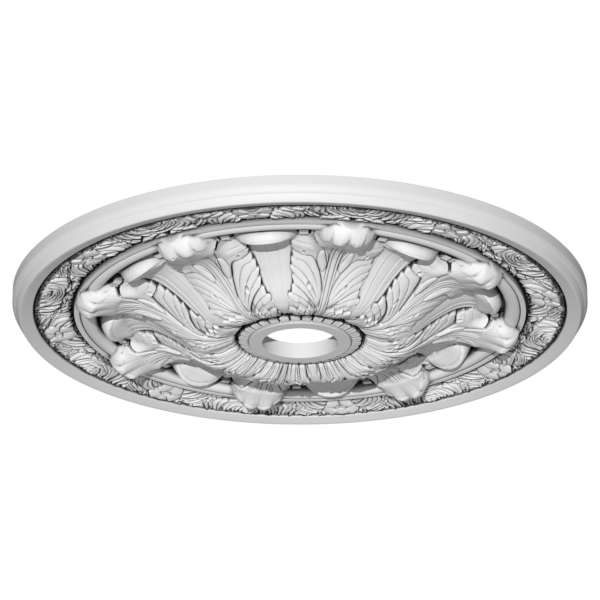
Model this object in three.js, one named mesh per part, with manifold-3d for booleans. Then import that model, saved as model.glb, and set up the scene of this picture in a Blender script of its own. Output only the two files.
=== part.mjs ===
// Ceiling rose: one casting, 775 mm across, with a wreath of eight acanthus leaves round an open hub.
// Millimetres, +Z up. The origin is the centre of the back face, which lies on the ceiling at Z = 0,
// and the ornament hangs below it, so a depth below the ceiling is a negative Z.
import * as THREE from 'three';
import Module from 'manifold-3d';
import { mergeVertices } from 'three/addons/utils/BufferGeometryUtils.js';

// Driving dimensions
const ROSE_RADIUS = 387.5;
const BORE_RADIUS = 50.8; // a 4 inch hole for the fitting
const HUB_RADIUS = 68.7; // outside of the plain ring round the hole
const HUB_DEPTH = 63.8; // how far the ring stands below the ceiling, 8 mm short of the leaves round it
const BORE_WALL = 22; // length of the hole's straight wall, behind which the back is hollow
const HOLLOW_RADIUS = 174; // rim of the hollow in the back
const RIM_WALL = 16.9; // height of the plain outer wall
const RIM_DEPTH = 33; // crest of the rim moulding, from which its face slopes back to the band
const BAND_START = 19.5; // ground of the flower band beside the ring
const BAND_END = 24.5; // and beside the rim
const FLOWER_DEPTH = 22.5; // the petals' front stands two bevels below this depth
const FLOWER_RADIUS = 334.8; // circle that the eight flowers sit on
const SECTORS = 8; // one flute and one leaf each
const COLUMNS = 16; // facets round each sector

// Round a sector: a flute is centred on column 0 and a leaf's midrib is on column 8
const MIDRIB = COLUMNS / 2;
const FLUTE_COLUMNS = 2;
const TIP_COLUMNS = 2;
const COLUMN_ANGLE = 360 / SECTORS / COLUMNS;
const TIP_HALF_ANGLE = 7.3; // half the width of a leaf's upturned tip
const EDGE_ANGLE = 0.9; // half the width of the step from flute to leaf

// Depths below the ceiling at a few radii, along a flute, along a leaf and along the plain ring
const FLUTE_LINE = [
  [88, 57], [100, 63], [112, 67.5], [124, 69], [133, 68], [146, 63], [156, 56], [164, 49], [177, 38.5],
  [196, 26.5], [214, 17.5], [232, 17], [246, 20.5], [263, 34.5], [270, 22], [275, 16],
];
const LEAF_LINE = [
  [88, 57], [100, 63.5], [112, 68.5], [124, 70], [133, 69], [146, 64.5], [156, 59], [166, 52.5], [178, 45.5],
  [193, 37.5], [209, 31.5], [222, 30], [234, 30.5], [246, 33], [263, 40.5], [284, 48.4], [292, 46], [299.5, 38],
  [304, 27],
];
const RING_LINE = [[263, 17], [270, 15], [275, 16], [284, 26.4], [292, 27.2], [299.5, 25.6], [304, 26]];
const FLUTE_EDGE = [[88, 3], [104, 4.2], [124, 5.2], [153, 6.2], [174, 6.8], [232, 7.4], [263, 8.6]];

// Radii of the rings of points, from the hub outwards
const HUB_STATIONS = [[BORE_RADIUS, HUB_DEPTH], [HUB_RADIUS, HUB_DEPTH], [72.5, 56.5], [84, 61]];
const LEAF_STATIONS = [89, 103, 124, 142, 156, 171, 187, 203, 218, 234, 247, 256];
const RING_STATIONS = [263, 270, 275, 284, 292, 299.5, 304];
const BAND_STATIONS = [[310, BAND_START], [352, BAND_END]];
const RIM_STATIONS = [
  [359.2, 27.7], [368, 31.6], [376.5, RIM_DEPTH], [383.2, 23.2], [ROSE_RADIUS, RIM_WALL], [ROSE_RADIUS, 0],
];
const BACK_STATIONS = [[HOLLOW_RADIUS, 0], [160, 34], [130, 46], [BORE_RADIUS, HUB_DEPTH - BORE_WALL]];

const TOOTH_ANGLE = 1.6; // how far every second lobe of a leaf draws back
const TOOTH_DEPTH = 4.5; // and how much higher it lies
const LOBE_GROOVE = 3.5; // furrow between the lobes of an upturned tip
const SPOON_START = 250; // a flute ends in a spoon that turns up between these radii
const SPOON_END = 272;
const SPOON_FALL = 2; // how much its lip drops from column to column
const MIDRIB_RISE = 2;
const DENTIL_RISE = 2.5;
const BAND_RELIEF = 3; // leaves of the flower band over its ground

const PETALS = 5;
const PETAL_POINTS = 3; // points on the outline of each petal
const PETAL_OUTER = 21;
const PETAL_INNER = 15;
const PETAL_THICKNESS = 12; // most of it is sunk in the band
const PETAL_BEVEL = 3;
const EYE_RADIUS = 7;
const EYE_RISE = 3;

const plaster = new THREE.MeshStandardMaterial({ color: 0xeeeeec, roughness: 0.62, metalness: 0 });

// Depth on a line of [radius, depth] points
function along(line, radius) {
  if (radius <= line[0][0]) return line[0][1];
  for (let i = 1; i < line.length; i++) {
    const [r0, d0] = line[i - 1];
    const [r1, d1] = line[i];
    if (radius <= r1) return THREE.MathUtils.lerp(d0, d1, (radius - r0) / (r1 - r0));
  }
  return line[line.length - 1][1];
}

// Columns counted from the nearest flute centre, 0 to 8
function fromFlute(column) {
  const step = column % COLUMNS;
  return Math.min(step, COLUMNS - step);
}

// Angle of a leaf column from the flute centre, with the columns gathered at the leaf's toothed edge
function leafAngle(step, radius, toothed) {
  const edge = along(FLUTE_EDGE, radius) + (toothed ? TOOTH_ANGLE : 0);
  const inner = edge - EDGE_ANGLE;
  const outer = edge + EDGE_ANGLE;
  if (step <= FLUTE_COLUMNS) return (inner * step) / FLUTE_COLUMNS;
  const middle = COLUMN_ANGLE * MIDRIB;
  const share = (step - FLUTE_COLUMNS - 1) / (MIDRIB - FLUTE_COLUMNS - 1);
  return outer + (middle - outer) * share;
}

// Depth of a leaf column: the flute's floor, the leaf's scalloped edge, its face and its midrib
function leafDepth(step, radius, toothed) {
  if (step <= FLUTE_COLUMNS) {
    const lip = radius > SPOON_START ? (step * step) / FLUTE_COLUMNS : 0;
    return along(FLUTE_LINE, radius) - lip;
  }
  const face = along(LEAF_LINE, radius);
  const swell = THREE.MathUtils.smoothstep(radius, 110, 180);
  if (step === FLUTE_COLUMNS + 1) return face - swell * (toothed ? TOOTH_DEPTH * 2 : TOOTH_DEPTH);
  if (step === MIDRIB) return face + MIDRIB_RISE;
  return face - swell * (toothed ? TOOTH_DEPTH / 2 : 0);
}

// Angle of a column in the ring, with the columns gathered at the sides of the upturned tips
function ringAngle(step) {
  const fromMidrib = MIDRIB - step;
  const middle = COLUMN_ANGLE * MIDRIB;
  if (fromMidrib <= TIP_COLUMNS) return middle - (TIP_HALF_ANGLE * fromMidrib) / (TIP_COLUMNS + 0.5);
  const side = middle - TIP_HALF_ANGLE - EDGE_ANGLE;
  return (side * step) / (MIDRIB - TIP_COLUMNS - 1);
}

// Depth of a column in the ring: spoon-shaped flute end, plain ring, or the leaf tip that laps over it
function ringDepth(step, radius) {
  const fromMidrib = MIDRIB - step;
  if (fromMidrib <= TIP_COLUMNS) {
    const furrow = fromMidrib % 2 === 0 ? LOBE_GROOVE : 0;
    return along(LEAF_LINE, radius) - furrow;
  }
  if (step <= FLUTE_COLUMNS && radius < SPOON_END) return along(FLUTE_LINE, radius) - SPOON_FALL * step;
  return along(RING_LINE, radius);
}

// One ring of points: its radius, and the depth and angle of each of its columns
function plainStation([radius, depth]) {
  return { radius, depth: () => depth, angle: (step) => step * COLUMN_ANGLE };
}

function dentilStation([radius, depth]) {
  const tooth = (step) => depth + (step % 2 ? -DENTIL_RISE : 0);
  return { radius, depth: tooth, angle: (step) => step * COLUMN_ANGLE };
}

function leafStation(radius, index) {
  const toothed = index % 2 === 0 && radius > 125;
  return {
    radius,
    depth: (step) => leafDepth(step, radius, toothed),
    angle: (step) => leafAngle(step, radius, toothed),
  };
}

function ringStation(radius) {
  return { radius, depth: (step) => ringDepth(step, radius), angle: ringAngle };
}

function bandStation([radius, depth], index) {
  const fan = (step) => depth + ((step + index) % 2 ? BAND_RELIEF : 0);
  return { radius, depth: fan, angle: (step) => step * COLUMN_ANGLE };
}

const stations = [
  ...HUB_STATIONS.slice(0, 3).map(plainStation),
  ...HUB_STATIONS.slice(3).map(dentilStation),
  ...LEAF_STATIONS.map(leafStation),
  ...RING_STATIONS.map(ringStation),
  ...BAND_STATIONS.map(bandStation),
  ...RIM_STATIONS.map(plainStation),
  ...BACK_STATIONS.map(plainStation),
];

// The casting is turned on a lathe from its closed profile, and then each point moves to its own relief
function turnedBody() {
  const profile = stations.map((s) => new THREE.Vector2(s.radius, -s.depth(0)));
  profile.push(profile[0].clone());
  const segments = SECTORS * COLUMNS;
  const geometry = new THREE.LatheGeometry(profile, segments);
  const position = geometry.getAttribute('position');
  for (let column = 0; column <= segments; column++) {
    const step = fromFlute(column);
    const side = column % COLUMNS > MIDRIB ? -1 : 1;
    const sector = Math.floor((column % COLUMNS > MIDRIB ? column + COLUMNS : column) / COLUMNS);
    for (let j = 0; j < profile.length; j++) {
      const station = stations[j % stations.length];
      const turn = THREE.MathUtils.degToRad((sector * 360) / SECTORS + side * station.angle(step));
      const x = station.radius * Math.cos(turn);
      const y = station.radius * Math.sin(turn);
      position.setXYZ(column * profile.length + j, x, y, -station.depth(step));
    }
  }
  return geometry;
}

// A flower of the band: five rounded petals with a raised oval eye
function flower() {
  const outline = new THREE.Shape();
  const points = PETALS * PETAL_POINTS;
  for (let i = 0; i < points; i++) {
    const angle = (2 * Math.PI * i) / points;
    const radius = i % PETAL_POINTS ? PETAL_OUTER : PETAL_INNER;
    outline[i ? 'lineTo' : 'moveTo'](radius * Math.cos(angle), radius * Math.sin(angle));
  }
  const petals = new THREE.ExtrudeGeometry(outline, {
    depth: PETAL_THICKNESS,
    bevelSize: PETAL_BEVEL,
    bevelThickness: PETAL_BEVEL,
    bevelOffset: -PETAL_BEVEL,
    bevelSegments: 1,
  });
  const eye = new THREE.CylinderGeometry(EYE_RADIUS, EYE_RADIUS * 0.6, PETAL_THICKNESS, 6).rotateX(Math.PI / 2);
  return [
    petals.translate(0, 0, -FLOWER_DEPTH - PETAL_BEVEL),
    eye.translate(0, 0, -FLOWER_DEPTH - PETAL_BEVEL - EYE_RISE + PETAL_THICKNESS / 2),
  ];
}

const wasm = await Module();
wasm.setup();

function solidOf(geometry) {
  const plain = geometry.clone();
  plain.deleteAttribute('normal');
  plain.deleteAttribute('uv');
  const merged = mergeVertices(plain, 1e-3);
  return new wasm.Manifold(new wasm.Mesh({
    numProp: 3,
    vertProperties: new Float32Array(merged.getAttribute('position').array),
    triVerts: new Uint32Array(merged.getIndex().array),
  }));
}

function geometryOf(solid) {
  const mesh = solid.getMesh();
  const geometry = new THREE.BufferGeometry();
  geometry.setAttribute('position', new THREE.BufferAttribute(mesh.vertProperties, 3));
  geometry.setIndex(new THREE.BufferAttribute(mesh.triVerts, 1));
  geometry.computeVertexNormals();
  return geometry;
}

let casting = solidOf(turnedBody());
for (let sector = 0; sector < SECTORS; sector++) {
  const turn = (2 * Math.PI * sector) / SECTORS;
  for (const piece of flower()) {
    casting = casting.add(solidOf(piece.translate(FLOWER_RADIUS, 0, 0).rotateZ(turn)));
  }
}

const rose = new THREE.Mesh(geometryOf(casting), plaster);
rose.name = 'ceiling_rose';

const part = new THREE.Group();
part.add(rose);

export default part;
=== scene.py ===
import math
import bmesh
import bpy
import numpy as np
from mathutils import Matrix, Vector


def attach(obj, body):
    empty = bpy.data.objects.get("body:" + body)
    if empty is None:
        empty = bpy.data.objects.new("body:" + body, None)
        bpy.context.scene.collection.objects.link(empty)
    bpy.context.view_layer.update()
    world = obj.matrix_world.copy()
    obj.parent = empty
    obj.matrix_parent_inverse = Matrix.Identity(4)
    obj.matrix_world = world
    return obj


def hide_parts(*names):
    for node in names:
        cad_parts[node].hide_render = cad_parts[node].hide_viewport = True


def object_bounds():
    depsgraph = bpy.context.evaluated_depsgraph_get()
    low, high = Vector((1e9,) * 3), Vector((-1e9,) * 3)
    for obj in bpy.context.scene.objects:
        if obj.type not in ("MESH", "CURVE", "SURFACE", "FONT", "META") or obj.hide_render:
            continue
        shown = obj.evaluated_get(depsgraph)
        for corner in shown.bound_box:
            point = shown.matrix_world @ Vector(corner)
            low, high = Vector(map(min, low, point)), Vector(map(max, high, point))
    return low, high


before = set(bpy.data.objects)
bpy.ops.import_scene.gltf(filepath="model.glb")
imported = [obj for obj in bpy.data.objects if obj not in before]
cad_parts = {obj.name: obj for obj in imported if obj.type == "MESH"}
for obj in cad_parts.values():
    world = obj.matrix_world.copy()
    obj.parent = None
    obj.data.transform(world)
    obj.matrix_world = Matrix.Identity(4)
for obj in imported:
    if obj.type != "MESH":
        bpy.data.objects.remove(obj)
cadLow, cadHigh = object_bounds()

# The casting is worked out in millimetres and degrees, for half of one of its eight parts: from the middle
# of a flute (turn 0) to the midrib of the leaf beside it (turn 22.5). Depths count down from the ceiling.
mm = 0.001
degree = math.pi / 180

# In the dictionaries below, a pair for a furrow or a ridge is its depth and its half width, and a pair for a
# start or an end is where it lies and over what length it comes on or fades
rose = {
    "parts": 8,
    "deepest": 71.8,  # no carving goes deeper
    "hubGap": (85.4, 47.0),  # radius and depth of the grooves where one piece meets the next
    "ringGroove": (305.6, 14.0),
    "rimGroove": (358.6, 18.0),
}
halfTurn = 180 / rose["parts"]


def ease(x):  # 0 to 1 with soft ends
    x = np.clip(x, 0, 1)
    return x * x * (3 - 2 * x)


def onset(x, start, length):  # 0 up to the start, then softly up to 1 over the length
    return ease((x - start) / length)


def fade(x, end, length):  # 1, then over the length softly down to 0 at the end
    return ease((end - x) / length)


def edgeStep(inside, width):  # 0 outside an edge and 1 inside it
    return ease(inside / width + 0.5)


def line(distance, width):  # a soft-sided line, 1 in its middle
    return np.exp(-((distance / width) ** 2))


def cut(distance, size):  # a furrow of a depth and a half width
    depth, width = size
    return depth * line(distance, width)


def arc(x):  # a round back between -1 and 1
    return np.sqrt(np.clip(1 - x * x, 0, 1))


def fraction(x):
    return x - np.floor(x)


# A place runs from 0 to 1 across one finger, lobe or feather
def back(place, power):  # 1 in the middle and 0 at both ends
    return 1 - np.abs(2 * place - 1) ** power


def toEnd(place):
    return np.minimum(place, 1 - place)


def peaked(place, peak):  # straight up to 1 at the peak and down again
    return np.minimum(place / peak, (1 - place) / (1 - peak))


def along(points, radius, soft):  # depth on a line of (radius, depth) points, its corners rounded
    radii, depths = np.array(points, float).T
    shifts = -soft, -soft / 2, 0, soft / 2, soft
    return sum(np.interp(radius + shift, radii, depths) for shift in shifts) / len(shifts)


hub = {
    "back": [
        (174, 0), (173.2, 1.5), (167, 17), (160, 33), (152, 39), (130, 45), (115, 45.6), (100, 45),
        (75, 43.6), (54, 42.2), (51.3, 41.9),
    ],
    "bore": [(50.8, 42.4), (50.8, 48), (50.8, 56), (50.8, 63.3)],
    "ring": [(51.3, 63.8), (56, 63.8), (62, 63.8), (67.9, 63.8), (68.6, 63.2), (69.0, 61.2)],
    "slope": [(69.6, 60.4), (70.6, 61.4), (72, 62), (79, 60.6), (82.6, 59.2)],
    "slopeSoft": 0.5,
    "dentils": 32,
    "dentilGap": (4.5, 1.05),
    "gapStart": (69.6, 2.5),
    "dentilHollow": (0.5, 4.0),
    "dentilLift": 0.4,
    "outside": 82.8,
    "cornerRound": (1.6, 2.4),
    "step": 0.8,  # between the rows of points
}


def hubDepth(r, t):
    wide = 360 / hub["dentils"]
    place = fraction(t / wide)
    gap = toEnd(place) * wide * r * degree
    depth = along(hub["slope"], r, hub["slopeSoft"]) - cut(gap, hub["dentilGap"]) * onset(r, *hub["gapStart"])
    depth = depth - cut((place - 0.5) * wide * r * degree, hub["dentilHollow"]) + hub["dentilLift"]
    return np.where(r < hub["outside"] - cut(gap, hub["cornerRound"]), depth, rose["hubGap"][1])


flute = {
    "floor": [
        (84, 50), (88, 56), (100, 62), (112, 66.5), (124, 68), (133, 67.2), (146, 62.2), (156, 55.5),
        (164, 48.6), (177, 38), (196, 26.3), (210, 19), (220, 16.8), (232, 16.6), (246, 20), (255, 25.5),
        (261, 31.5), (264.5, 34.8),
    ],
    "floorSoft": 3,
    "edge": [  # radius and half the flute's width in degrees
        (84, 1.4), (104, 1.6), (118, 2.0), (128, 3.0), (146, 5.0), (160, 6.3), (174, 7.0), (200, 7.3),
        (232, 7.5), (263, 8.6),
    ],
    "edgeSoft": 4,
    "belly": 1.2,  # how much lower its middle hangs than its sides
    "bellyStart": (100, 40),
    "creases": (0.30, 0.74),  # places from the middle to the edge
    "crease": (0.6, 1.0),
    "ridge": (0.5, 1.8),
    "ridgeBeside": 0.1,
    "creaseStart": (120, 30),
}


def fluteHalf(r):
    return along(flute["edge"], r, flute["edgeSoft"])


def fluteDepth(r, t):
    half = fluteHalf(r)
    side = t / half
    depth = along(flute["floor"], r, flute["floorSoft"])
    depth = depth - flute["belly"] * side**2 * onset(r, *flute["bellyStart"])
    started = onset(r, *flute["creaseStart"])
    for crease in flute["creases"]:
        fromCrease = side - crease
        depth = depth - cut(fromCrease * half * r * degree, flute["crease"]) * started
        depth = depth + cut((fromCrease - flute["ridgeBeside"]) * half * r * degree, flute["ridge"]) * started
    return depth


# The fingers of a leaf follow lines that fan out from its root and end in the notches of its edge
fan = {
    "root": 70.0,
    "crest": 121.0,  # inside this radius they run straight to the hub
    "crestSoft": 4,
    "width": 15.6,  # in degrees, from the midrib
    "ends": (40, 420, 381),  # radii of the ends that are worked out, first, last and number
    "gather": 0.52,  # how strongly the lines draw together at the midrib
    "bend": 1.5,
    "spread": [
        (90, 0.95), (161, 0.92), (187, 0.92), (200, 0.75), (211, 0.52), (225, 0.6), (240, 0.5), (330, 0.5),
    ],
    "spreadSoft": 3,
    "sweep": 22,  # how far the lines hook outwards at the leaf's edge
    "sweepStart": 0.78,
    "firstNotch": 105.5,
    "pitch": 11.7,
    "leastSlant": 0.3,
}


def fanNotch(r, t):  # the radius at which the finger line through a point ends at the leaf's edge
    run = fan["crest"] + fan["crestSoft"] * np.log1p(np.exp((r - fan["crest"]) / fan["crestSoft"]))
    ends = np.linspace(*fan["ends"])
    widths = along(fan["spread"], ends, fan["spreadSoft"])
    notch = np.empty((r.shape[0], t.shape[1]))
    for column, across in enumerate((halfTurn - t[0]) / fan["width"]):
        spread = 1 - fan["gather"] * np.clip(1 - across / widths, 0, 1) ** fan["bend"]
        hook = fan["sweep"] * np.clip(across - fan["sweepStart"], 0, 1) ** fan["bend"]
        notch[:, column] = np.interp(run[:, 0], fan["root"] + (ends - fan["root"]) * spread + hook, ends)
    return notch


def leafPlaces(r, t):
    fromRib = halfTurn - t + 0 * r  # degrees from the midrib
    half = halfTurn - fluteHalf(r)
    notch = fanNotch(r, t)
    outwards = np.gradient(notch, axis=0) / np.gradient(r[:, 0])[:, None]
    sideways = np.gradient(notch, axis=1) / (np.gradient(t[0]) * r * degree)
    return {
        "fromRib": fromRib,
        "across": fromRib / half,  # 1 at the leaf's edge
        "beyond": (fromRib - half) * r * degree,
        "finger": (notch - fan["firstNotch"]) / fan["pitch"],
        "wide": fan["pitch"] / np.maximum(np.hypot(outwards, sideways), fan["leastSlant"]),
    }


fingers = {
    "inLobe": 4,
    "rise": 1.1,
    "step": 2.1,  # how much deeper one side lies than the next finger's
    "cut": (0.5, 0.6),
    "lobeRise": 2.0,
    "lobeStep": 3.8,
    "lobeCut": (1.8, 0.8),
    "roundness": 2.4,
    "level": 0.6,  # share of the rise that is level with the leaf's face
    "start": (0.12, 0.3),  # across the leaf from its midrib, and over what share of it
    "narrow": (1.5, 3),  # the width in millimetres below which they fade
    "lobeStart": (0.06, 0.12),
    "lobeNarrow": (1.0, 2),
    "lastFingers": (9.2, 0.6),  # from this finger on they start further from the midrib
    "lastStart": 0.33,
    "calmEdge": (0.66, 0.26),  # near the leaf's edge and beyond a radius the relief is calmer
    "calmEdgeShare": 0.65,
    "calmEnd": (205, 24),
    "calmEndShare": 0.8,
    "lobeKept": 0.4,
    "lobeCutKept": 0.35,
    "uneven": 0.3,  # how much the steps vary from finger to finger, and how that variation runs
    "pace": 2.4,
    "phase": 0.5,
    "crest": 134,  # over the crest of the wreath they turn more
    "crestTurn": (0.7, 16),
    "stepInside": 0.45,
    "stepMore": 0.35,
    "stepMoreFrom": (0.55, 0.4),
}


def fingerWave(finger):
    return np.sin(fingers["pace"] * np.floor(finger) + fingers["phase"])


def withFingers(depth, r, places):
    across, finger, wide = places["across"], places["finger"], places["wide"]
    calm = 1 - fingers["calmEdgeShare"] * onset(across, *fingers["calmEdge"])
    calm = calm * (1 - fingers["calmEndShare"] * onset(r, *fingers["calmEnd"]))
    lobeCalm = fingers["lobeKept"] + (1 - fingers["lobeKept"]) * calm
    cutCalm = fingers["lobeCutKept"] + (1 - fingers["lobeCutKept"]) * calm
    start, length = fingers["start"]
    late = fingers["lastStart"] * onset(finger, *fingers["lastFingers"])
    grow = ease((across - start - late) / length) * onset(wide, *fingers["narrow"])
    lobeGrow = onset(across, *fingers["lobeStart"]) * onset(wide, *fingers["lobeNarrow"])
    place = fraction(finger)
    lobePlace = fraction((finger - 1) / fingers["inLobe"])
    turned = 1 + fingers["uneven"] * fingerWave(finger) + cut(r - fingers["crest"], fingers["crestTurn"])
    turned = turned * (fingers["stepInside"] + fingers["stepMore"] * onset(across, *fingers["stepMoreFrom"]))
    depth = depth + fingers["rise"] * calm * grow * (back(place, fingers["roundness"]) - fingers["level"])
    lobeBack = back(lobePlace, fingers["roundness"]) - fingers["level"]
    depth = depth + fingers["lobeRise"] * lobeCalm * lobeGrow * lobeBack
    depth = depth - fingers["step"] * calm * grow * turned * (place - 0.5)
    depth = depth - fingers["lobeStep"] * lobeCalm * lobeGrow * (lobePlace - 0.5)
    depth = depth - grow * cut(toEnd(place) * wide, fingers["cut"])
    return depth - cutCalm * lobeGrow * cut(toEnd(lobePlace) * wide * fingers["inLobe"], fingers["lobeCut"])


teeth = {
    "long": 3.4,
    "peak": 0.74,
    "curve": 0.8,
    "level": 0.55,  # share of a tooth that is inside the leaf's plain edge
    "lobeLong": 5.0,
    "lobePeak": 0.6,
    "lobeCurve": 0.7,
    "lobeLevel": 0.6,
    "least": 0.25,  # share of their length that they have near the hub
    "grow": (96, 34),
    "uneven": 0.35,
}


def toothReach(r, places):  # how far the leaf's toothed edge stands past a point, in millimetres
    finger = places["finger"]
    size = onset(r, *teeth["grow"]) * (1 - teeth["least"]) + teeth["least"]
    size = size * (1 + teeth["uneven"] * fingerWave(finger))
    lobePlace = fraction((finger - 1) / fingers["inLobe"])
    tooth = teeth["long"] * (peaked(fraction(finger), teeth["peak"]) ** teeth["curve"] - teeth["level"])
    lobe = peaked(lobePlace, teeth["lobePeak"]) ** teeth["lobeCurve"] - teeth["lobeLevel"]
    return size * (tooth + teeth["lobeLong"] * lobe) - places["beyond"]


bud = {
    "radius": 207.0,
    "turn": 4.2,
    "long": 20.0,
    "wide": 2.1,
    "lean": 0.025,
    "rise": 2.8,
    "outline": 1.02,
    "outlineScale": 7,
    "outlineCut": (1.0, 0.8),
    "outlineEnd": (1.6, 0.5),
}


def withBud(depth, r, fromRib):  # a slim bud on the face of the leaf, to either side of its midrib
    past = r - bud["radius"]
    e = np.hypot(past / bud["long"], (fromRib - bud["turn"] - past * bud["lean"]) / bud["wide"])
    outline = cut((e - bud["outline"]) * bud["outlineScale"], bud["outlineCut"]) * fade(e, *bud["outlineEnd"])
    return depth + bud["rise"] * arc(e) - outline


eyes = {
    "places": [(168.0, 8.6), (120.0, 9.0), (216.0, 11.0)],  # radius, and degrees from the midrib
    "long": 3.6,
    "wide": 2.4,
    "hole": (3.0, 0.75),
    "rim": (0.9, 0.45),
    "rimAt": 1.7,
}


def withEyes(depth, r, fromRib):  # drilled eyes where lobes part
    for radius, turn in eyes["places"]:
        e = np.hypot((r - radius) / eyes["long"], (fromRib - turn) * r * degree / eyes["wide"])
        depth = depth - cut(e, eyes["hole"]) + cut(e - eyes["rimAt"], eyes["rim"])
    return depth


pleats = {
    "pitch": 2.35,
    "inside": (104, 24),  # they cover the slope from the crest to the hub
    "bend": 1.5,
    "bendStart": (90, 26),
    "bendAcross": 8,
    "sway": 0.5,
    "swayPace": 1.1,
    "cut": (1.7, 0.7),
    "light": 0.6,  # share of that depth, and how far it varies from pleat to pleat
    "heavy": 0.5,
    "heavyPace": 1.7,
    "swell": 0.9,
    "swellWidth": 2.2,
}


def withPleats(depth, r, fromRib):
    bent = fromRib - pleats["bend"] * onset(r, *pleats["bendStart"]) * ease(fromRib / pleats["bendAcross"])
    bent = bent + pleats["sway"] * np.sin(fromRib * pleats["swayPace"])
    shifted = bent / pleats["pitch"] + 0.5
    distance = np.abs(fraction(shifted) - 0.5) * pleats["pitch"] * r * degree
    weight = pleats["light"] + pleats["heavy"] * np.sin(pleats["heavyPace"] * np.floor(shifted))
    pleat = weight * cut(distance, pleats["cut"]) - pleats["swell"] * ease(distance / pleats["swellWidth"])
    return depth - (1 - onset(r, *pleats["inside"])) * pleat


lips = {
    "radius": 129.0,
    "reach": 9.0,
    "pitch": 5.3,  # in degrees
    "shift": 0.35,
    "peak": 0.7,
    "besideRib": (1.6, 1.2),
    "swell": (1.6, 4),
    "swellBefore": 3,
    "drop": 3.8,
    "dropWidth": 5.0,
    "recover": 22.0,
}


def withLips(depth, r, fromRib):  # teeth that hang from the crest of the wreath
    place = fraction(fromRib / lips["pitch"] + lips["shift"])
    past = r - lips["radius"] - lips["reach"] * (peaked(place, lips["peak"]) - 0.5)
    hung = onset(fromRib, *lips["besideRib"])
    depth = depth + hung * cut(past + lips["swellBefore"], lips["swell"]) * (place - 0.5)
    fall = hung * edgeStep(past, lips["dropWidth"]) * (1 - ease(past / lips["recover"]))
    return depth - lips["drop"] * fall


leaf = {
    "face": [
        (84, 50), (88, 57), (100, 63.5), (112, 68.3), (124, 69.9), (133, 69.2), (146, 64.8), (156, 59.2),
        (166, 52.6), (178, 45.6), (193, 37.6), (209, 31.6), (222, 30.0), (234, 30.6), (246, 33.2),
        (263, 40.5), (284, 46),
    ],
    "soft": 4,
    "hem": 3.8,  # how far the leaf's edge stands off the flute
    "leastHem": 0.6,
    "drop": 2.6,  # how sharply the face falls to its edge
    "widest": 1.1,  # how far past its edge the face still falls
    "ribs": (1.0, 2.1),  # furrows beside the midrib, in degrees from it
    "ribCut": (1.6, 0.7),
    "midrib": 1.3,
    "midribSide": (1.9, 0.5),
    "endFall": (224, 30),  # beside the tip the face falls to the leaf's end
    "endDrop": 13,
    "endBeside": (2.4, 3.2),
    "end": 250.0,  # beside the tip the leaf ends near this radius, in lobes
    "endLobe": 6.0,
    "endPitch": 3.4,
    "endFrom": 8.6,
    "endCurve": 0.8,
    "endWidth": 0.8,
}


def leafDepth(r, places):
    fromRib, across = places["fromRib"], places["across"]
    face = along(leaf["face"], r, leaf["soft"])
    hem = np.minimum(along(flute["floor"], r, leaf["soft"]) + leaf["hem"], face - leaf["leastHem"])
    depth = face - (face - hem) * np.clip(across, 0, leaf["widest"]) ** leaf["drop"]
    depth = withFingers(depth, r, places)
    depth = withBud(depth, r, fromRib)
    depth = withEyes(depth, r, fromRib)
    for furrow in leaf["ribs"]:
        depth = depth - cut((fromRib - furrow) * r * degree, leaf["ribCut"])
    depth = withPleats(depth, r, fromRib)
    depth = depth + leaf["midrib"] * (1 - onset(fromRib, *leaf["midribSide"]))
    depth = withLips(depth, r, fromRib)
    inside, width = leaf["endBeside"]
    besideTip = onset(fromRib, tip["halfWidth"] - inside, width)
    return depth - leaf["endDrop"] * onset(r, *leaf["endFall"]) * besideTip


def leafEnd(t):
    scallop = np.abs(np.sin(math.pi * (t - leaf["endFrom"]) / leaf["endPitch"])) ** leaf["endCurve"]
    return leaf["end"] + leaf["endLobe"] * scallop


tip = {
    "crest": [  # degrees from the midrib, and depth of the tip's edge
        (0, 44.0), (0.8, 46.4), (2.2, 48.6), (3.6, 46.2), (4.3, 41.0), (5.2, 40.4), (6.3, 37.0), (7.1, 31.0),
        (7.6, 27.0), (8.3, 22.0), (8.8, 16.0),
    ],
    "crestSoft": 0.12,
    "crestRadius": [(0, 288), (2.2, 284), (4.3, 283), (5.6, 276.5), (7.1, 272), (7.8, 268.5), (8.8, 265)],
    "radiusSoft": 0.3,
    "swellSoft": 2.0,
    "swellCurve": 1.15,
    "crestCurve": 5,
    "start": 246.0,
    "startLength": 4,
    "over": 262,  # past this radius the tip covers only what lies less deep
    "end": (305, 0.8),
    "halfWidth": 8.8,
    "rootWidth": 0.66,  # share of that width where the tip begins
    "widening": (246, 20),
    "edgeWidth": 1.4,
    "baseSoft": 4,
    "baseReach": 6,
    "baseSag": 1.5,
    "reach": 21.0,  # from the crest out to where the face meets the ring
    "foot": 16.5,
    "ribPitch": 1.45,  # fine ribs up the inside of the tip
    "ribDepth": 0.22,
    "ribStart": 0.3,
    "ribEnd": (3, 6),
    "lip": 4.6,
    "lipCut": (0.35, 0.8),
    "eye": (2.6, 1.5),  # past the crest in millimetres, and degrees from the midrib
    "eyeCut": (1.8, 1.0),
    "eyeRim": (0.5, 0.7),
    "eyeRimAt": 2.4,
    "grooves": (0, 4.35, 7.3),
    "grooveCut": (0.9, 1.1),
    "grooveEnd": (9, 8),
}


def tipInside(beyond, fromRib, base, crest, rise):
    swell = along(tip["crest"], fromRib, tip["swellSoft"])
    depth = base + (swell - base) * rise ** tip["swellCurve"] + (crest - swell) * rise ** tip["crestCurve"]
    ribs = np.abs(fraction(fromRib / tip["ribPitch"]) - 0.5) * 2
    depth = depth - tip["ribDepth"] * ribs**3 * ease(rise / tip["ribStart"]) * onset(-beyond, *tip["ribEnd"])
    return depth - cut(beyond + tip["lip"], tip["lipCut"])


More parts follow.
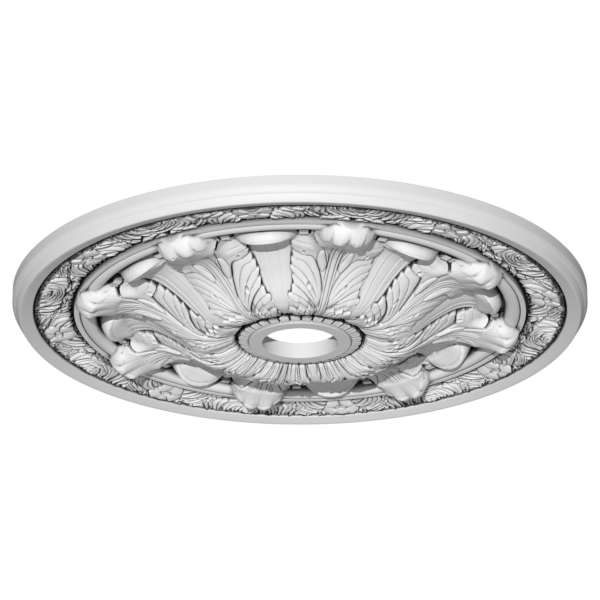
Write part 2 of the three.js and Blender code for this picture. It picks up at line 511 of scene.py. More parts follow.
def tipOutside(r, beyond, fromRib, crest):
    depth = tip["foot"] + (crest - tip["foot"]) * arc(np.clip(beyond / tip["reach"], 0, 1))
    past, turn = tip["eye"]
    eye = np.hypot(beyond - past, (fromRib - turn) * r * degree)
    depth = depth - cut(eye, tip["eyeCut"]) + cut(eye - tip["eyeRimAt"], tip["eyeRim"])
    for groove in tip["grooves"]:
        fromGroove = (fromRib - groove) * r * degree
        depth = depth - cut(fromGroove, tip["grooveCut"]) * fade(beyond, *tip["grooveEnd"])
    return depth


def tipDepth(r, t):  # the leaf's upturned tip: a lobed cup leaning out over the ring
    fromRib = halfTurn - t
    base = along(leaf["face"], np.minimum(r, tip["start"] + tip["baseReach"]), tip["baseSoft"])
    base = base - tip["baseSag"] * (fromRib / tip["halfWidth"]) ** 2
    crest = along(tip["crest"], fromRib, tip["crestSoft"])
    radius = along(tip["crestRadius"], fromRib, tip["radiusSoft"])
    beyond = r - radius
    rise = np.clip((r - tip["start"]) / (radius - tip["start"]), 0, 1)
    inside = tipInside(beyond, fromRib, base, crest, rise)
    return np.where(beyond < 0, inside, tipOutside(r, beyond, fromRib, crest))


def onTip(r, t):
    width = tip["halfWidth"] * (tip["rootWidth"] + (1 - tip["rootWidth"]) * onset(r, *tip["widening"]))
    inside = edgeStep((t - halfTurn + width) * r * degree, tip["edgeWidth"])
    return inside * onset(r, tip["start"], tip["startLength"]) * fade(r, *tip["end"])


spoon = {
    "halfWidth": 9.3,
    "edgeWidth": 1.0,
    "start": (236, 8),
    "riseStart": 226,
    "floorEnd": 232,
    "floorSoft": 1.0,
    "crest": 263.5,
    "depth": 37.0,
    "fall": [(0, 0), (0.25, 0.8), (0.5, 3.8), (0.75, 10.0), (0.92, 17.0), (1.0, 21.5), (1.4, 24)],
    "fallSoft": 0.03,
    "widest": 1.3,
    "sweep": 14.0,  # how far its edge curves back to its sides
    "sweepCurve": 2.2,
    "insideCurve": 1.45,
    "lip": 5.0,
    "lipCut": (0.7, 0.8),
    "foot": 277.5,
    "footDepth": 12,
    "outsideCurve": 1.7,
    "line": 3.6,  # a fine line along the outside of its lip
    "lineBack": 2.4,
    "lineCut": (0.5, 0.7),
    "end": 274,
}


def spoonDepth(r, t):  # the flute's upturned end
    side = np.clip(t / spoon["halfWidth"], 0, spoon["widest"])
    swept = r + spoon["sweep"] * side ** spoon["sweepCurve"]
    past = swept - spoon["crest"]
    crest = spoon["depth"] - along(spoon["fall"], side, spoon["fallSoft"])
    rise = np.clip((swept - spoon["riseStart"]) / (spoon["crest"] - spoon["riseStart"]), 0, 1)
    floor = along(flute["floor"], np.minimum(r, spoon["floorEnd"]), spoon["floorSoft"])
    inside = floor + (crest - floor) * rise ** spoon["insideCurve"]
    inside = inside - cut(past + spoon["lip"], spoon["lipCut"])
    fallen = np.clip(past / (spoon["foot"] - spoon["crest"]), 0, 1)
    outside = crest - (crest - spoon["footDepth"]) * fallen ** spoon["outsideCurve"]
    outside = outside - cut(past - spoon["line"] + spoon["lineBack"] * side, spoon["lineCut"]) * (1 - side)
    return np.where(past < 0, inside, outside)


def onSpoon(r, t):
    return edgeStep((spoon["halfWidth"] - t) * r * degree, spoon["edgeWidth"]) * onset(r, *spoon["start"])


blocks = {
    "depth": 20.5,
    "across": [(9.8, 12.6), (13.2, 14.7)],  # turns between which they stand
    "inside": 258.0,
    "outside": 269.0,
    "slant": 0.1,
    "ground": 11.0,
    "edgeWidth": 1.0,
    "edgeLift": 0.3,
}


def blockDepth(r, t):  # small flat blocks between a tip and a spoon
    depth = blocks["ground"] + 0 * r * t
    lengthways = np.minimum(r - blocks["inside"], blocks["outside"] - r)
    top = blocks["depth"] + blocks["slant"] * (blocks["outside"] - r)
    for start, end in blocks["across"]:
        inside = np.minimum(np.minimum(t - start, end - t) * r * degree, lengthways)
        raised = ease(inside / blocks["edgeWidth"] + blocks["edgeLift"])
        depth = np.maximum(depth, blocks["ground"] + (top - blocks["ground"]) * raised)
    return depth


ring = {
    "inside": 275.5,
    "gapStart": 274,
    "centre": 288.3,
    "radius": 11.8,
    "base": 15.8,
    "gapDepth": 11.0,
    "strip": (297.0, 304.6),
    "stripDepth": 26.0,
    "groove": 297.2,
    "grooveCut": (1.1, 0.6),
}


def ringDepth(r, t):
    torus = ring["base"] + ring["radius"] * arc((r - ring["centre"]) / ring["radius"])
    inner, outer = ring["strip"]
    depth = np.where(np.abs(r - ring["centre"]) < ring["radius"], torus, ring["gapDepth"])
    depth = np.maximum(depth, np.where((r > inner) & (r < outer), ring["stripDepth"], ring["gapDepth"]))
    depth = depth - cut(r - ring["groove"], ring["grooveCut"])
    return np.where(r > outer, rose["ringGroove"][1], depth) + 0 * t


wreath = {
    "columns": 200,  # of points across half a part
    "step": 0.58,  # between the rows of points
    "triangles": 196000,
    "sharp": 55,  # faces that meet at more than this angle have a sharp edge between them
    "edgeWidth": 0.7,  # of the step from a flute up to a leaf
    "rootLobes": 4,
    "rootCurve": 0.7,
    "rootEnd": 90.4,
    "rootReach": 3.2,
    "curl": (0.9, 3.0),
    "curlRadius": 92,
}


def wreathDepth(r, t):
    places = leafPlaces(r, t)
    face = fluteDepth(r, t)
    face = face + (leafDepth(r, places) - face) * edgeStep(toothReach(r, places), wreath["edgeWidth"])
    scallop = np.abs(np.sin(math.pi * t / (halfTurn / wreath["rootLobes"]))) ** wreath["rootCurve"]
    face = face + cut(r - wreath["curlRadius"], wreath["curl"]) * scallop
    depth = np.where(r < wreath["rootEnd"] - wreath["rootReach"] * scallop, rose["hubGap"][1], face)
    depth = depth + (blocks["ground"] - depth) * edgeStep(r - leafEnd(t), leaf["endWidth"])
    depth = np.where(r > leaf["end"], np.maximum(depth, blockDepth(r, t)), depth)
    spooned = depth + (spoonDepth(r, t) - depth) * onSpoon(r, t)
    depth = np.where((r > spoon["start"][0]) & (r < spoon["end"]), spooned, depth)
    depth = np.where(r > ring["gapStart"], ring["gapDepth"], depth)
    depth = np.where(r > ring["inside"], ringDepth(r, t), depth)
    tipped = np.maximum(tipDepth(r, t), np.where(r > tip["over"], depth, 0))
    return np.minimum(depth + (tipped - depth) * onTip(r, t), rose["deepest"])


band = {
    "columns": 200,
    "step": 0.58,
    "triangles": 190000,
    "sharp": 55,
    "inside": 306.6,
    "outside": 358.3,
    "ground": 16.6,
    "face": 24.0,
    "tilt": 0.12,  # the foliage lies deeper towards the rim
    "middle": 331.5,
    "edgeWidth": 0.8,
    "shadow": (3.4, 1.3),  # furrow along the outside of each leaf
    "shadowAt": 1.1,
    "endWidth": 1.2,
}

flower = {
    "radius": 334.8,
    "petals": 5,
    "size": 25.0,
    "notch": 5.5,
    "ripple": 1.0,
    "ripples": 12,
    "bowl": 2.4,
    "bowlRadius": 14,
    "bowlCurve": 0.014,
    "lap": 2.4,  # each petal lies over the next
    "gap": (1.8, 0.8),
    "gapWidth": 0.62,
    "gapStart": (7, 4),
    "eye": 4.6,
    "eyeLong": 1.7,
    "eyeRise": 2.6,
    "eyeDent": 1.6,
    "dentRadius": 3.2,
    "collar": (2.4, 0.8),
    "collarRadius": 5.2,
}


def flowerDepth(x, y):  # x along the band, y across it, from the flower's centre
    radius = np.hypot(x, y)
    turn = fraction(np.arctan2(x, y) / (2 * math.pi) * flower["petals"] + 0.5)
    petal = np.abs(turn - 0.5) * 2  # 0 in a petal's middle, 1 between petals
    edge = flower["size"] - flower["notch"] * petal**3 + flower["ripple"] * np.cos(turn * flower["ripples"])
    bowl = band["face"] + flower["bowl"] - flower["bowlCurve"] * (radius - flower["bowlRadius"]) ** 2
    bowl = bowl - flower["lap"] * (turn - 0.5)
    gap = (1 - petal) * radius * flower["gapWidth"]
    bowl = bowl - cut(gap, flower["gap"]) * onset(radius, *flower["gapStart"])
    eyeRadius = np.hypot(x / flower["eyeLong"], y)
    dent = flower["eyeDent"] * arc(np.clip(eyeRadius / flower["dentRadius"], 0, 1))
    eye = band["face"] + flower["eyeRise"] - dent
    bowl = bowl - cut(eyeRadius - flower["collarRadius"], flower["collar"])
    return np.where(eyeRadius < flower["eye"], eye, bowl), edge - radius


feather = {
    "tall": 1.15,
    "longSway": (2.2, 11, 7),  # how far, and its lengths along and across the band
    "shortSway": (3.2, 12),
    "rankPace": 2.1,
    "rankLift": 0.7,
    "tufts": 3.5,
    "tuftPace": 1.9,
    "tuftLift": 1.1,
    "lap": 2.6,
    "lapTuft": 1.4,
    "swell": 0.6,
    "cut": (1.0, 0.55),
    "cutTuft": 0.7,
}


def featherDepth(x, y, pitch, widen, phase, lift):  # long arcs round a centre, each over the next one out
    far, lengthways, acrossways = feather["longSway"]
    sway = far * np.sin(x / lengthways + y / acrossways)
    far, acrossways = feather["shortSway"]
    sway = sway + far * np.sin(y / acrossways + phase)
    distance = np.hypot(x, feather["tall"] * y) + sway
    count = np.log1p(widen * np.clip(distance, 0, None) / pitch) / widen + phase
    place = fraction(count)
    rank = np.sin(feather["rankPace"] * np.floor(count) + phase)
    tuft = np.sin(feather["tufts"] * np.arctan2(y, x) + feather["tuftPace"] * np.floor(count))
    depth = band["face"] + lift + feather["rankLift"] * rank + feather["tuftLift"] * tuft
    depth = depth + (feather["lap"] + feather["lapTuft"] * tuft) * (0.5 - place)
    depth = depth + feather["swell"] * arc(2 * place - 1)
    fromEdge = toEnd(place) * (pitch + widen * distance)
    between = cut(fromEdge, feather["cut"]) * (1 + feather["cutTuft"] * tuft)
    return depth - between, place, rank


volute = {
    "size": 10.0,
    "coils": 2.2,
    "lift": 0.4,
    "rise": 1.0,
    "lap": 1.8,
    "cut": (1.0, 0.6),
    "fall": 1.6,
    "boss": 3.2,
    "bossRise": 0.8,
    "bossDome": 1.4,
    "scallop": 1.8,
    "scallops": 2.5,
}


def voluteDepth(x, y):  # a scroll: lapping arcs round a small boss
    radius = np.hypot(x, y)
    angle = np.arctan2(y, x)
    coil = fraction(radius / volute["size"] * volute["coils"] - angle / (2 * math.pi))
    face = band["face"] + volute["lift"]
    depth = face + volute["rise"] * back(coil, 2) - volute["lap"] * (coil - 0.5)
    depth = depth - cut(toEnd(coil) * volute["size"] / volute["coils"], volute["cut"])
    depth = depth - volute["fall"] * (radius / volute["size"]) ** 3
    boss = face + volute["bossRise"] + volute["bossDome"] * arc(np.clip(radius / volute["boss"], 0, 1))
    depth = np.where(radius < volute["boss"], boss, depth)
    return depth, volute["size"] + volute["scallop"] * np.abs(np.sin(angle * volute["scallops"])) - radius


pod = {
    "taper": 1.7,
    "least": 0.001,
    "rise": 2.2,
    "ribCut": (1.2, 0.6),
    "veinDepth": 0.6,
    "veinLean": 0.8,
    "veinPitch": 4.2,
}


def podDepth(x, y, long, wide, turn, lift):  # a pointed leaflet with a midrib
    c, s = math.cos(turn), math.sin(turn)
    px, py = x * c + y * s, y * c - x * s
    half = wide * np.clip(1 - np.abs(px / long) ** pod["taper"], pod["least"], 1)
    depth = band["face"] + lift + pod["rise"] * arc(np.clip(py / half, -1, 1)) - cut(py, pod["ribCut"])
    vein = np.abs(np.sin(math.pi * (px - np.abs(py) * pod["veinLean"]) / pod["veinPitch"]))
    return depth - pod["veinDepth"] * vein**4, half - np.abs(py)


foliage = {
    # of each spray: its centre along and across the band, pitch, widening, phase and lift
    "fan": (-2, 20, 4.2, 0.026, 0.2, -0.8),
    "under": (16, 34, 4.6, 0.012, 1.7, -2.0),
    "over": (2, -44, 4.6, 0.004, 0.9, 0.3),
    "volute": (-3, 19),
    # of each pod: its centre, length, width, turn and lift
    "pods": [(-15, -19, 15, 8, -0.35, 0.8), (-36, -21, 14, 6, 0.25, 0.3)],
    "ragged": (8.3, 0.62, 7),  # pitch, place of the notch and depth of the frayed edges
    "underEnd": 60,
    "fanEnd": 9,
    "fanWave": (4, 17),
    "fanRagged": 0.8,
    "fanTips": 2,
    "overEnd": 58,
    "overRank": 3,
    "overTips": 5,
    "overSide": 15,
    "overSlant": 0.35,
    "overFrom": 30,
    "innerEnd": 1.2,
    "innerLobe": (3.6, 4.6),
    "innerSway": (0.8, 15),
    "innerCurve": 0.8,
    "outerLobe": (2.2, 3.3),
    "outerSway": 12,
}


def spray(name, x, y):
    centreX, centreY, *shape = foliage[name]
    return featherDepth(x - centreX, y - centreY, *shape)


def fanEdge(x, y, place, ragged):
    far, length = foliage["fanWave"]
    wave = far * np.sin(x / length)
    return y + foliage["fanEnd"] + wave + ragged * foliage["fanRagged"] + foliage["fanTips"] * place


def overEdge(x, y, place, rank, ragged):
    tips = foliage["overEnd"] + foliage["overRank"] * rank + foliage["overTips"] * arc(2 * place - 1)
    side = foliage["overSide"] - ragged - y + foliage["overSlant"] * (x - foliage["overFrom"])
    return np.minimum(tips - x, side)


def bandEnds(r, x):  # how far a point is inside the scalloped edges of the foliage
    far, length = foliage["innerLobe"]
    swayFar, swayLength = foliage["innerSway"]
    lobe = np.abs(np.sin(x / length + swayFar * np.sin(x / swayLength))) ** foliage["innerCurve"]
    inner = band["inside"] + foliage["innerEnd"] + far * lobe
    far, length = foliage["outerLobe"]
    outer = band["outside"] - far * np.abs(np.sin(x / length + np.sin(x / foliage["outerSway"])))
    return np.minimum(r - inner, outer - r)


def bandDepth(r, t):
    x = t * degree * flower["radius"] + 0 * r  # along the band from the flower, and back from the midrib
    y = r - band["middle"] + 0 * t
    fromRib = x - halfTurn * degree * flower["radius"]
    distance, peak, depth = foliage["ragged"]
    ragged = np.abs(fraction(x / distance) - peak) * depth
    under, _, _ = spray("under", fromRib, y)
    fanned, fanPlace, _ = spray("fan", fromRib, y)
    over, overPlace, overRank = spray("over", x, y)
    centreX, centreY = foliage["volute"]
    layers = [
        (under, foliage["underEnd"] + 0 * x),
        (fanned, fanEdge(x, y, fanPlace, ragged)),
        (over, overEdge(x, y, overPlace, overRank, ragged)),
        voluteDepth(fromRib - centreX, y - centreY),
    ]
    for podX, podY, *shape in foliage["pods"]:
        layers.append(podDepth(fromRib - podX, y - podY, *shape))
    layers.append(flowerDepth(x, r - flower["radius"] + 0 * t))
    depth = band["ground"] + 0 * x
    for height, inside in layers:
        depth = depth - cut(inside + band["shadowAt"], band["shadow"]) * (inside < 0)
        depth = depth + (height - depth) * edgeStep(inside, band["edgeWidth"])
    raised = (depth - band["ground"]) * edgeStep(bandEnds(r, x), band["endWidth"])
    return band["ground"] + band["tilt"] * y + raised


rim = {
    "inside": [(358.9, 18.2), (359.1, 19.0), (359.3, 26.4), (359.7, 27.7)],
    "face": [
        (360.2, 28.3), (364, 29.5), (368, 30.7), (372, 31.9), (375.4, 32.9), (376.8, 33.0), (377.8, 32.7),
        (378.5, 31.9),
    ],
    "ovolo": [(379.6, 30.2), (381.2, 27.2), (382.4, 24.6), (382.9, 23.4), (383.5, 23.1)],
    "cove": [(384.3, 22.2), (385.6, 20.2), (386.5, 18.4), (386.9, 17.4), (387.3, 17.0), (387.5, 16.6)],
    "wall": [(387.5, 11), (387.5, 5), (387.5, 0.8), (386.8, 0)],
    "back": [(360, 0), (320, 0), (280, 0), (240, 0), (205, 0)],
}

body = {
    "columns": 41,
    "sharp": 32,
    "grooveShade": (27, 5),  # painted shade in the groove inside the rim, up to this depth, and over what length it ends
    "grooveBeside": 2,
    "grooveFrom": 2,
    "gapShade": (60, 5),  # painted shade in the gap round the hub too, up to this depth
    "gapBeside": 1,
    # painted shade in the gaps between the dentils
    "dentilShade": 1.2,
}


# A grid of rows holds radius, turn and depth of each point of half a part
def turnedRows(points, turns):
    profile = np.array(points, float)
    radii, depths = profile[:, :1], profile[:, 1:]
    return np.stack([radii + 0 * turns, turns + 0 * radii, depths + 0 * turns], 2)


def carvedRows(start, end, piece, depthAt):
    turns = np.linspace(0, halfTurn, piece["columns"])[None, :]
    count = int((end[0] - start[0]) / piece["step"])
    radii = np.linspace(start[0], end[0], count)[:, None]
    depths = depthAt(radii, turns) + 0 * radii * turns
    depths[0], depths[-1] = start[1], end[1]
    return np.stack([radii + 0 * turns, turns + 0 * radii, depths], 2)


def bodyRows():  # the rim, the outer wall, the back, the hole and the hub, from one groove to the other
    turns = np.linspace(0, halfTurn, body["columns"])[None, :]
    outline = [rose["rimGroove"]]
    for stretch in ("inside", "face", "ovolo", "cove", "wall", "back"):
        outline += rim[stretch]
    for stretch in ("back", "bore", "ring"):
        outline += hub[stretch]
    dentils = {"columns": body["columns"], "step": hub["step"]}
    carved = carvedRows(hub["slope"][0], rose["hubGap"], dentils, hubDepth)
    return np.concatenate([turnedRows(outline, turns), carved])


# The point attribute made here is painted light: 0 on open faces, 1 where they are fully hidden and painted
# darkest, and below 0 on raised edges, which are painted as a highlight
paintedShadeAndHighlight = {
    "scales": [(1.3, 1.0), (4.0, 3.4), (10.0, 9.0)],  # width looked over, and the depth that counts as 1
    "least": -0.3,  # on raised edges, where the painted highlight is
    # less painted shade everywhere, and less again in the band
    "lift": 0.1,
    "bandLift": 0.2,
    "bandStart": (317, 4),
    "bandEnd": (353, 5),
    # painted shadow of the rim's edge on the band next to it: how much, from this radius, over this length
    "rimShadow": 1.1,
    "rimStart": (347, 8),
    # painted shadow in the strip of the band beside the ring
    "shadowBesideRing": 0.8,
    "ringStart": (304.9, 0.8),
    "ringEnd": (316.5, 5),
}


def blur(grid, cells):  # mean over the cells to either side, along and across the grid
    size = 2 * cells + 1
    for axis, ends in ((0, "edge"), (1, "reflect")):
        pad = [(0, 0), (0, 0)]
        pad[axis] = (cells + 1, cells)
        total = np.cumsum(np.pad(grid, pad, mode=ends), axis=axis)
        count = total.shape[axis]
        last = np.take(total, range(size, count), axis)
        grid = (last - np.take(total, range(count - size), axis)) / size
    return grid


def sampled(grid, rows, co):  # the grid's value at each point of the thinned mesh
    radius = np.hypot(co[:, 0], co[:, 1]) / mm
    turn = np.arctan2(co[:, 1], co[:, 0]) / degree
    last = np.array(grid.shape) - 1.001
    i = np.clip((radius - rows[0, 0, 0]) / (rows[1, 0, 0] - rows[0, 0, 0]), 0, last[0])
    j = np.clip(turn / halfTurn * (grid.shape[1] - 1), 0, last[1])
    a, b = i.astype(int), j.astype(int)
    i, j = i - a, j - b
    near = grid[a, b] * (1 - j) + grid[a, b + 1] * j
    return near * (1 - i) + (grid[a + 1, b] * (1 - j) + grid[a + 1, b + 1] * j) * i


def carvedShadeAndHighlight(rows, co):
    radius, depth = rows[..., 0], rows[..., 2]
    # painted shade in creases and a painted highlight on raised edges, from how far a point lies below the
    # mean depth round it
    below = []
    for width, full in paintedShadeAndHighlight["scales"]:
        cells = int(round(width / (rows[1, 0, 0] - rows[0, 0, 0])))
        below.append((blur(depth, cells) - depth) / full)
    paintedAmount = np.clip(np.maximum.reduce(below), paintedShadeAndHighlight["least"], 1)
    # painted shadow of the rim on the outer strip of the band
    paintedAmount = paintedAmount + paintedShadeAndHighlight["rimShadow"] * onset(radius, *paintedShadeAndHighlight["rimStart"])
    # painted shadow beside the ring
    shadowBesideRing = onset(radius, *paintedShadeAndHighlight["ringStart"]) * fade(radius, *paintedShadeAndHighlight["ringEnd"])
    paintedAmount = paintedAmount + paintedShadeAndHighlight["shadowBesideRing"] * shadowBesideRing
    inBand = onset(radius, *paintedShadeAndHighlight["bandStart"]) * fade(radius, *paintedShadeAndHighlight["bandEnd"])
    paintedAmount = paintedAmount - paintedShadeAndHighlight["lift"] - paintedShadeAndHighlight["bandLift"] * inBand
    return sampled(np.clip(paintedAmount, paintedShadeAndHighlight["least"], 1), rows, co)


# painted shade in the groove inside the rim, in the gap round the hub and between the dentils
def bodyPaintedShade(rows, co):  # the body's points are the grid's own
    radius, depth = rows[..., 0], rows[..., 2]
    inGroove = (radius > rim["inside"][0][0] - body["grooveBeside"]) & (radius < rim["inside"][-1][0])
    inGroove = inGroove & (depth > body["grooveFrom"])
    inGap = (radius > hub["outside"] - body["gapBeside"]) & (radius < rose["hubGap"][0] + body["gapBeside"])
    grooveAndGapShade = inGroove * fade(depth, *body["grooveShade"]) + inGap * fade(depth, *body["gapShade"])
    wide = 360 / hub["dentils"]
    gap = toEnd(fraction(rows[..., 1] / wide)) * radius * wide * degree
    onDentils = (radius > hub["slope"][1][0]) & (radius < hub["outside"])
    return np.clip(grooveAndGapShade + body["dentilShade"] * line(gap, hub["dentilGap"][1]) * onDentils, 0, 1).ravel()


weld = {"distance": 0.01, "groove": 0.12, "grooveDepth": 0.5, "turn": 0.03}  # how near counts as on it


def meshFrom(name, points, faces):
    mesh = bpy.data.meshes.new(name)
    mesh.from_pydata(points.tolist(), [], faces.tolist())
    piece = bpy.data.objects.new(name, mesh)
    bpy.context.collection.objects.link(piece)
    return piece


def settleEdges(half):  # the cut edges lie exactly on the flute's middle, on the midrib and in the grooves
    ribX, ribY = math.cos(halfTurn * degree), math.sin(halfTurn * degree)
    for vertex in half.verts:
        if not vertex.is_boundary:
            continue
        flat = math.hypot(vertex.co.x, vertex.co.y)
        for radius, depth in (rose["hubGap"], rose["ringGroove"], rose["rimGroove"]):
            near = abs(flat - radius * mm) < weld["groove"] * mm
            if near and abs(vertex.co.z + depth * mm) < weld["grooveDepth"] * mm:
                vertex.co.x *= radius * mm / flat
                vertex.co.y *= radius * mm / flat
                vertex.co.z = -depth * mm
                flat = radius * mm
        turn = math.atan2(vertex.co.y, vertex.co.x) / degree
        if turn < weld["turn"]:
            vertex.co.x, vertex.co.y = flat, 0
        elif turn > halfTurn - weld["turn"]:
            vertex.co.x, vertex.co.y = ribX * flat, ribY * flat


def halfMesh(rows, triangles):  # half a part, thinned to its share of the triangles
    count, columns = rows.shape[:2]
    turn = rows[..., 1] * degree
    points = np.stack([rows[..., 0] * np.cos(turn), rows[..., 0] * np.sin(turn), -rows[..., 2]], 2)
    i, j = np.meshgrid(np.arange(count - 1), np.arange(columns - 1), indexing="ij")
    a, b = i * columns + j, i * columns + j + 1
    faces = np.stack([a, b, b + columns, a + columns], 2).reshape(-1, 4)
    piece = meshFrom("halfPart", points.reshape(-1, 3) * mm, faces)
    if triangles:
        thin = piece.modifiers.new("thin", "DECIMATE")
        thin.ratio = triangles / (2 * rose["parts"]) / (len(faces) * 2)
    mesh = bpy.data.meshes.new_from_object(piece.evaluated_get(bpy.context.evaluated_depsgraph_get()))
    bpy.data.objects.remove(piece)
    half = bmesh.new()
    half.from_mesh(mesh)
    bmesh.ops.triangulate(half, faces=half.faces)
    settleEdges(half)
    half.to_mesh(mesh)
    half.free()
    return mesh


def allParts(co, corners):  # the half part, mirrored, and turned to each part's place
    points, faces = [], []
    for part in range(rose["parts"]):
        turn = 2 * math.pi * part / rose["parts"]
        c, s = math.cos(turn), math.sin(turn)
        for side in (1, -1):
            x, y = co[:, 0], co[:, 1] * side
            points.append(np.stack([x * c - y * s, x * s + y * c, co[:, 2]], 1))
            order = corners[:, ::-1] if side == 1 else corners
            faces.append(order + len(co) * len(faces))
    return np.concatenate(points), np.concatenate(faces)


def castPiece(name, rows, paintedLightAt, triangles, sharp):
    mesh = halfMesh(rows, triangles)
    co = np.empty(len(mesh.vertices) * 3)
    mesh.vertices.foreach_get("co", co)
    co = co.reshape(-1, 3)
    corners = np.empty(len(mesh.loops), int)
    mesh.loops.foreach_get("vertex_index", corners)
    piece = meshFrom(name, *allParts(co, corners.reshape(-1, 3)))
    # painted shade and highlight of each point, stored for the material
    values = np.tile(paintedLightAt(rows, co), 2 * rose["parts"])
    piece.data.attributes.new("paintedShadeAndHighlight", "FLOAT", "POINT").data.foreach_set("value", values)
    whole = bmesh.new()
    whole.from_mesh(piece.data)
    bmesh.ops.remove_doubles(whole, verts=whole.verts, dist=weld["distance"] * mm)
    grooveEdges = sum(1 for edge in whole.edges if edge.is_boundary)
    print(name, len(whole.faces), "triangles,", grooveEdges, "edges in the grooves")
    whole.to_mesh(piece.data)
    whole.free()
    piece.data.shade_smooth()
    piece.data.set_sharp_from_angle(angle=sharp * degree)
    return piece


def castRose():
    wreathRows = carvedRows(rose["hubGap"], rose["ringGroove"], wreath, wreathDepth)
    bandRows = carvedRows(rose["ringGroove"], rose["rimGroove"], band, bandDepth)
    return [
        castPiece("hub_back_and_rim", bodyRows(), bodyPaintedShade, 0, body["sharp"]),
        castPiece("leaf_wreath", wreathRows, carvedShadeAndHighlight, wreath["triangles"], wreath["sharp"]),
        castPiece("flower_band", bandRows, carvedShadeAndHighlight, band["triangles"], band["sharp"]),
    ]


primer = {
    "open": 0.585,  # painted highlight on raised edges, lightness of plain faces, and painted shade in furrows
    "face": 0.52,
    # painted shade, nearly black, in the deepest furrows
    "furrow": 0.012,
    "faceAt": 0.25,  # places on the ramp
    "furrowAt": 0.80,
    "mottle": 0.025,
    "mottleScale": 9.0,
    "mottleDetail": 4,
    "shelterReach": 60.0,  # millimetres within which the carving paints shade on a place, from ambient occlusion
    "shelterFull": 0.22,  # share of open air at which the painted shade is darkest
    "shelterNone": 0.72,
    "shelterShade": 0.02,
    "shelterSamples": 8,
    "grainScale": 420.0,
    "grainDetail": 3,
    "rough": (0.5, 0.66),
    "grainStrength": 0.12,
    "grainHeight": 0.15,  # in millimetres
}


def mapRange(nodes, values):
    node = nodes.new("ShaderNodeMapRange")
    for socket, value in values.items():
        node.inputs[socket].default_value = value
    return node


def noise(nodes, links, place, scale, detail):
    node = nodes.new("ShaderNodeTexNoise")
    node.inputs["Scale"].default_value = scale
    node.inputs["Detail"].default_value = detail
    links.new(place.outputs["Object"], node.inputs["Vector"])
    return node


def scaled(nodes, links, colour, factor):
    node = nodes.new("ShaderNodeVectorMath")
    node.operation = "SCALE"
    links.new(colour, node.inputs[0])
    links.new(factor, node.inputs["Scale"])
    return node.outputs["Vector"]


def grey(level):
    return [level, level, level, 1]


# colour ramp of painted light: painted highlight on raised edges, plain faces, painted shade in furrows
def paintedLightTone(nodes, links):
    paintedAmount = nodes.new("ShaderNodeAttribute")
    paintedAmount.attribute_name = "paintedShadeAndHighlight"
    spread = mapRange(nodes, {"From Min": paintedShadeAndHighlight["least"]})
    tone = nodes.new("ShaderNodeValToRGB")
    first, last = tone.color_ramp.elements
    first.color = grey(primer["open"])
    last.color = grey(primer["furrow"])
    last.position = primer["furrowAt"]
    tone.color_ramp.elements.new(primer["faceAt"]).color = grey(primer["face"])
    links.new(paintedAmount.outputs["Fac"], spread.inputs["Value"])
    links.new(spread.outputs["Result"], tone.inputs["Fac"])
    return tone.outputs["Color"]


# painted shade from ambient occlusion, multiplied into the base colour
def paintedOcclusionShade(nodes, links):
    around = nodes.new("ShaderNodeAmbientOcclusion")
    around.samples = primer["shelterSamples"]
    around.inputs["Distance"].default_value = primer["shelterReach"] * mm
    limits = {"From Min": primer["shelterFull"], "From Max": primer["shelterNone"]}
    dusk = mapRange(nodes, {**limits, "To Min": primer["shelterShade"]})
    links.new(around.outputs["AO"], dusk.inputs["Value"])
    return dusk.outputs["Result"]


def primedFoam():
    material = bpy.data.materials.new("primed_foam")
    material.use_nodes = True
    nodes, links = material.node_tree.nodes, material.node_tree.links
    shader = nodes["Principled BSDF"]
    place = nodes.new("ShaderNodeTexCoord")
    mottle = noise(nodes, links, place, primer["mottleScale"], primer["mottleDetail"])
    lightness = mapRange(nodes, {"To Min": 1 - primer["mottle"], "To Max": 1 + primer["mottle"]})
    links.new(mottle.outputs["Fac"], lightness.inputs["Value"])
    # colour from the painted shade and highlight ramp, times a random mottle
    colour = scaled(nodes, links, paintedLightTone(nodes, links), lightness.outputs["Result"])
    # the base colour also carries painted shade from ambient occlusion
    links.new(scaled(nodes, links, colour, paintedOcclusionShade(nodes, links)), shader.inputs["Base Color"])
    grain = noise(nodes, links, place, primer["grainScale"], primer["grainDetail"])
    rough = mapRange(nodes, {"To Min": primer["rough"][0], "To Max": primer["rough"][1]})
    links.new(grain.outputs["Fac"], rough.inputs["Value"])
    links.new(rough.outputs["Result"], shader.inputs["Roughness"])
    bump = nodes.new("ShaderNodeBump")
    bump.inputs["Strength"].default_value = primer["grainStrength"]
    bump.inputs["Distance"].default_value = primer["grainHeight"] * mm
    links.new(grain.outputs["Fac"], bump.inputs["Height"])
    links.new(bump.outputs["Normal"], shader.inputs["Normal"])
    return material


def fromBelow(elevation, turn):  # direction in degrees below the ceiling and round from its near side
    e, a = elevation * degree, (turn - 90) * degree
    return Vector((math.cos(e) * math.cos(a), math.cos(e) * math.sin(a), -math.sin(e)))


def aimed(name, data, direction):  # an object whose back is turned to the direction
    thing = bpy.data.objects.new(name, data)
    bpy.context.collection.objects.link(thing)
    thing.rotation_mode = "QUATERNION"
    thing.rotation_quaternion = direction.to_track_quat("Z", "Y")
    return thing


sight = {
    "away": 11.0,  # in outside radii of the rose
    "elevation": 23.69,
    "turn": 10.14,
    "focus": 188.9,
    "sensor": 36,
}


def makeCamera():
    camera = bpy.data.cameras.new("camera")
    camera.lens = sight["focus"]
    camera.sensor_width = sight["sensor"]
    towards = fromBelow(sight["elevation"], sight["turn"])
    eye = aimed("camera", camera, towards)
    eye.location = towards * (sight["away"] * cadHigh[0])
    bpy.context.scene.camera = eye


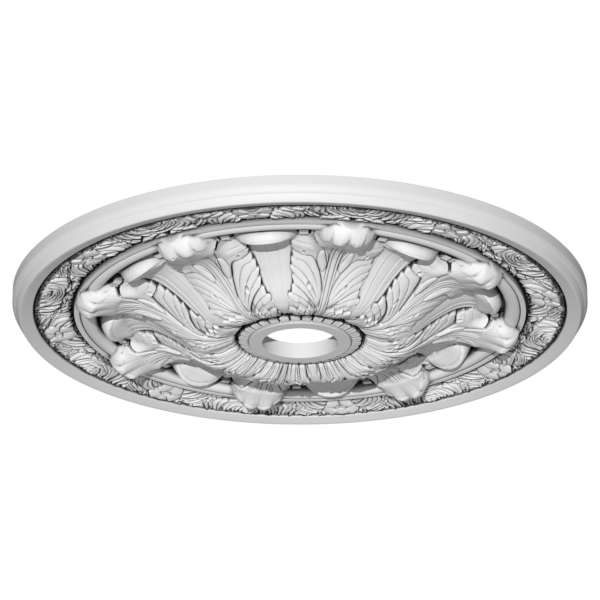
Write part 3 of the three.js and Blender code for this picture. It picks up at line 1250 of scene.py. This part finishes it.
lamps = {
    "elevation": 15.6,
    "turn": 5.0,
    "strength": 4.3,
    "softness": 0.6,
    "backStrength": 1.2,
    "fill": 0.11,
    "backdrop": 1.0,
    "white": (1, 1, 1, 1),
}


def makeLight():
    sun = bpy.data.lights.new("keyLight", "SUN")
    sun.energy = lamps["strength"]
    sun.angle = lamps["softness"] * degree
    aimed("keyLight", sun, fromBelow(lamps["elevation"], lamps["turn"]))
    overhead = bpy.data.lights.new("backLight", "SUN")
    overhead.energy = lamps["backStrength"]
    aimed("backLight", overhead, Vector((0, 0, 1)))
    world = bpy.data.worlds.new("studio")
    bpy.context.scene.world = world
    world.use_nodes = True
    nodes, links = world.node_tree.nodes, world.node_tree.links
    backdrop = nodes["Background"]
    backdrop.inputs["Color"].default_value = lamps["white"]
    path = nodes.new("ShaderNodeLightPath")
    level = mapRange(nodes, {"To Min": lamps["fill"], "To Max": lamps["backdrop"]})
    links.new(path.outputs["Is Camera Ray"], level.inputs["Value"])
    links.new(level.outputs["Result"], backdrop.inputs["Strength"])


stand = {"below": 6.5, "size": 24.0, "colour": 0.8, "glow": 0.11}  # in metres


def makeFloor():
    mesh = bpy.data.meshes.new("floor")
    s = stand["size"] / 2
    mesh.from_pydata([(-s, -s, 0), (s, -s, 0), (s, s, 0), (-s, s, 0)], [], [(0, 1, 2, 3)])
    floor = bpy.data.objects.new("floor", mesh)
    floor.location.z = -stand["below"]
    bpy.context.collection.objects.link(floor)
    material = bpy.data.materials.new("paleFloor")
    material.use_nodes = True
    pale = material.node_tree.nodes["Principled BSDF"]
    pale.inputs["Base Color"].default_value = grey(stand["colour"])
    pale.inputs["Emission Color"].default_value = lamps["white"]
    pale.inputs["Emission Strength"].default_value = stand["glow"]
    mesh.materials.append(material)


bpy.context.scene.view_settings.view_transform = "Standard"
makeCamera()
makeLight()
makeFloor()
print("stage is set")
foam = primedFoam()
for casting in castRose():
    casting.data.materials.append(foam)
    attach(casting, "root")
    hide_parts("ceiling_rose")
print("casting is made")
